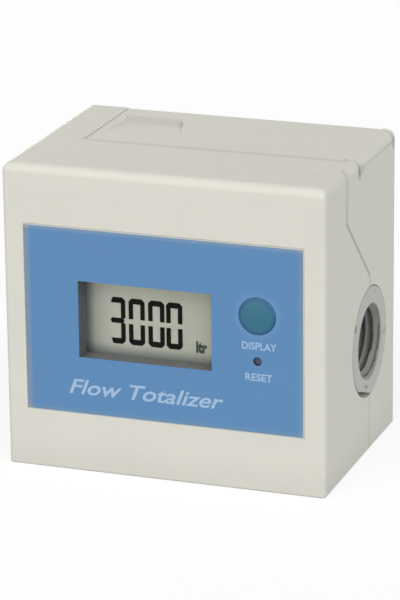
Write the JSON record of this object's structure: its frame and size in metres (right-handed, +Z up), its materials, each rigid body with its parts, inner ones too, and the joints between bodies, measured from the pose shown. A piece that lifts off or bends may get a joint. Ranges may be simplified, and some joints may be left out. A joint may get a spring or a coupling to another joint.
{
  "type": "electronic water flow meter",
  "caption": "Small electronic in-line water meter: a box casing with a counter display, a display key, a reset pin hole, a battery door and a tapped pipe port on each side.",
  "frame": {"origin": "middle of the base, under the middle of the whole box", "axes": "+X to the right along the pipe axis and out of the outlet port, +Y from the display to the rear, +Z up"},
  "size_m": [0.06, 0.0432, 0.0565],
  "materials": {
    "casing_plastic": "fine moulded texture",
    "door_plastic": "fine moulded texture",
    "label_film": "satin printed film",
    "frame_plastic": "smooth",
    "pane": "clear",
    "display_glass": "grey reflective display",
    "strip_rubber": "smooth",
    "board": "coated",
    "component_black": "moulded",
    "can_metal": "drawn",
    "key_plastic": "satin",
    "plunger_plastic": "smooth",
    "body_plastic": "machined and moulded",
    "seal_rubber": "smooth",
    "steel": "plain",
    "bearing_stone": "polished",
    "rotor_plastic": "smooth",
    "magnet": "plated",
    "cell_wrap": "shrink sleeve",
    "lead_red": "insulated wire",
    "lead_black": "insulated wire"
  },
  "bodies": {
    "casing": {"front_cover": "casing_plastic", "rear_cover": "casing_plastic", "door_hinge_pin": "steel", "casing_screws": "steel", "front_label": "label_film", "lcd_frame": "frame_plastic", "window_pane": "pane", "lcd_panel": "display_glass", "contact_strips": "strip_rubber", "circuit_board": "board", "board_screws": "steel", "controller_chip": "component_black", "quartz_crystal": "can_metal", "board_capacitor": "can_metal", "flow_sensor": "component_black", "display_switch": "component_black", "reset_switch": "component_black", "flow_body": "body_plastic", "chamber_cover": "body_plastic", "chamber_seal": "seal_rubber", "chamber_screws": "steel", "front_bearing": "bearing_stone", "rear_bearing": "bearing_stone", "inlet_screen": "steel", "jet_nozzle": "rotor_plastic", "battery_cells": "cell_wrap", "bridge_contact": "steel", "pole_contacts": "steel", "contact_springs": "steel", "positive_lead": "lead_red", "negative_lead": "lead_black"},
    "door": {"battery_door": "door_plastic"},
    "display_key": {"display_key": "key_plastic"},
    "display_plunger": {"display_plunger": "plunger_plastic"},
    "reset_plunger": {"reset_plunger": "plunger_plastic"},
    "rotor": {"rotor": "rotor_plastic", "rotor_magnets": "magnet", "rotor_shaft": "steel"}
  },
  "joints": [
    {"name": "door_hinge", "type": "hinge", "parent": "casing", "child": "door", "pos_m": [0.02825, 0.009, 0.0547], "axis": [0, 1, 0], "range_deg": [0, 110]},
    {"name": "key_press", "type": "slide", "parent": "casing", "child": "display_key", "axis": [0, 1, 0], "range_m": [0, 0.0005], "stiffness_N_per_m": 1000, "springref_m": -0.0003},
    {"name": "plunger_press", "type": "slide", "parent": "casing", "child": "display_plunger", "axis": [0, 1, 0], "range_m": [0, 0.0005]},
    {"name": "reset_press", "type": "slide", "parent": "casing", "child": "reset_plunger", "axis": [0, 1, 0], "range_m": [0, 0.0004], "stiffness_N_per_m": 1000, "springref_m": -0.0003},
    {"name": "rotor_spin", "type": "hinge", "parent": "casing", "child": "rotor", "pos_m": [0, 0.00515, 0.0258], "axis": [0, 1, 0], "continuous": true}
  ],
  "couplings": [
    {"joint": "plunger_press", "follows": "key_press", "ratio": 1}
  ]
}
